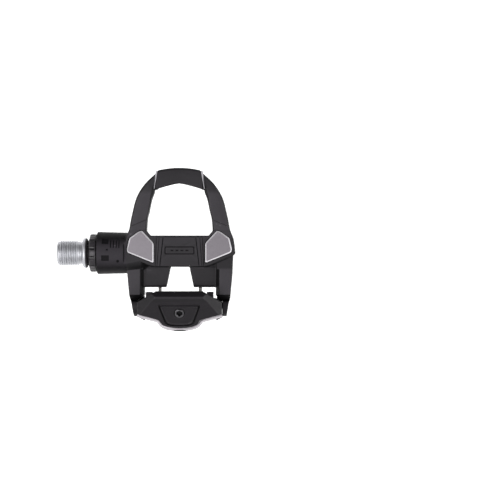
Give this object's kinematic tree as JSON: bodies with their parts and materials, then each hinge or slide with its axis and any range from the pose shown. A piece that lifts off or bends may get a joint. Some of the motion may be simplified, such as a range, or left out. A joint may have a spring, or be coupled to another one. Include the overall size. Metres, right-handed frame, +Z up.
{
  "type": "clipless pedal",
  "caption": "Clipless road pedal with a front hoop, a sprung rear claw, metal wear plates and a threaded spindle.",
  "frame": {"origin": "on the spindle's axis, in the plane of the flange face that meets the crank", "axes": "+X along the spindle into the pedal, +Y to the pedal's nose, +Z up to the shoe"},
  "size_m": [0.1008, 0.0921, 0.0295],
  "materials": {
    "body_plastic": "fine-grained moulded composite, dark grey",
    "claw_plastic": "satin moulded composite, dark grey",
    "nut_plastic": "smooth moulded composite, near black",
    "plate_steel": "grey, finely textured, with bright chamfers",
    "spindle_steel": "zinc-plated, satin",
    "bearing_steel": "ground and polished",
    "band_steel": "bright satin",
    "spring_steel": "dark drawn wire",
    "cage_plastic": "natural nylon",
    "seal_rubber": "matte black"
  },
  "bodies": {
    "spindle": {"spindle": "spindle_steel", "spindle_seal": "seal_rubber", "ball_bearing_inner_ring": "bearing_steel", "lock_washer": "bearing_steel", "spindle_lock_nut": "bearing_steel"},
    "pedal_body": {"pedal_body": "body_plastic", "retaining_nut": "nut_plastic", "nut_lip_seal": "seal_rubber", "needle_bearing_cup": "bearing_steel", "ball_bearing_outer_ring": "bearing_steel", "ball_bearing_inner_shield": "seal_rubber", "ball_bearing_outer_shield": "seal_rubber", "inboard_wear_plate": "plate_steel", "outboard_wear_plate": "plate_steel", "claw_pin": "spindle_steel", "spring_sleeve": "cage_plastic", "release_spring": "spring_steel"},
    "needle_cage": {"needle_bearing_cage": "cage_plastic", "needle_roller_01": "bearing_steel", "needle_roller_02": "bearing_steel", "needle_roller_03": "bearing_steel", "needle_roller_04": "bearing_steel", "needle_roller_05": "bearing_steel", "needle_roller_06": "bearing_steel", "needle_roller_07": "bearing_steel", "needle_roller_08": "bearing_steel", "needle_roller_09": "bearing_steel", "needle_roller_10": "bearing_steel", "needle_roller_11": "bearing_steel", "needle_roller_12": "bearing_steel", "needle_roller_13": "bearing_steel", "needle_roller_14": "bearing_steel"},
    "ball_cage": {"ball_bearing_cage": "cage_plastic", "bearing_ball_1": "bearing_steel", "bearing_ball_2": "bearing_steel", "bearing_ball_3": "bearing_steel", "bearing_ball_4": "bearing_steel", "bearing_ball_5": "bearing_steel", "bearing_ball_6": "bearing_steel", "bearing_ball_7": "bearing_steel", "bearing_ball_8": "bearing_steel"},
    "release_claw": {"release_claw": "claw_plastic", "claw_back_plate": "band_steel"},
    "tension_screw": {"tension_screw": "spindle_steel"},
    "tension_nut": {"tension_nut": "spindle_steel"}
  },
  "joints": [
    {"name": "pedal_spin", "type": "hinge", "parent": "spindle", "child": "pedal_body", "pos_m": [0, 0, 0], "axis": [1, 0, 0], "continuous": true},
    {"name": "needle_cage_orbit", "type": "hinge", "parent": "spindle", "child": "needle_cage", "pos_m": [0.0244, 0, 0], "axis": [1, 0, 0], "continuous": true},
    {"name": "ball_cage_orbit", "type": "hinge", "parent": "spindle", "child": "ball_cage", "pos_m": [0.0651, 0, 0], "axis": [1, 0, 0], "continuous": true},
    {"name": "claw_hinge", "type": "hinge", "parent": "pedal_body", "child": "release_claw", "pos_m": [0.055, -0.03, -0.0035], "axis": [1, 0, 0], "range_deg": [0, 20], "stiffness_Nm_per_rad": 5, "springref_deg": -2.86, "deforming": ["release_spring"]},
    {"name": "tension_screw_turn", "type": "hinge", "parent": "release_claw", "child": "tension_screw", "pos_m": [0.055, -0.0341, 0.0114], "axis": [0, 0.5, -0.866], "range_deg": [-900, 0]},
    {"name": "tension_nut_slide", "type": "slide", "parent": "release_claw", "child": "tension_nut", "axis": [0, -0.5, 0.866], "range_m": [-0.002, 0]}
  ],
  "couplings": [
    {"joint": "needle_cage_orbit", "follows": "pedal_spin", "ratio": 0.5786},
    {"joint": "ball_cage_orbit", "follows": "pedal_spin", "ratio": 0.6158},
    {"joint": "tension_screw_turn", "follows": "tension_nut_slide", "rad_per_m": 7854}
  ]
}
